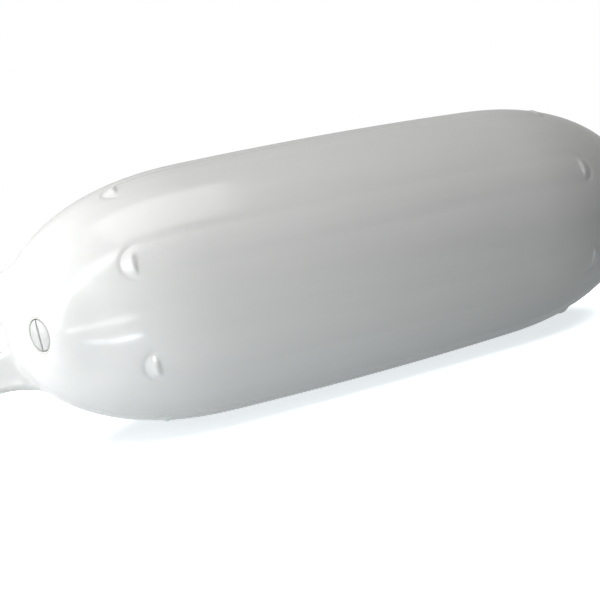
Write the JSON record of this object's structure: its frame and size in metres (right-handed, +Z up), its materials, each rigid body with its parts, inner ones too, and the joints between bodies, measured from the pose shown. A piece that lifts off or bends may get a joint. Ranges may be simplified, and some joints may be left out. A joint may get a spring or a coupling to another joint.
{
  "type": "boat fender",
  "caption": "Inflatable ribbed vinyl boat fender: a crowned cylinder with domed ends, a flat rope eye on each end and a screw-plug inflation valve.",
  "frame": {"origin": "on the surface the fender lies on, midway along its length and under its axis", "axes": "+X along the fender's length, away from the valve end; +Z up; the flat rope eyes lie in the XZ plane and the valve looks to -X and -Y"},
  "size_m": [0.55, 0.168, 0.167],
  "materials": {
    "white_vinyl": "semi-gloss white plasticised vinyl, faintly uneven, clean",
    "insert_plastic": "hard off-white moulded plastic",
    "plug_plastic": "hard light grey moulded plastic",
    "seal_rubber": "dark matt rubber"
  },
  "bodies": {
    "root": {"fender_body": "white_vinyl", "valve_insert": "insert_plastic", "valve_seal": "seal_rubber", "valve_plug": "plug_plastic"}
  },
  "joints": []
}
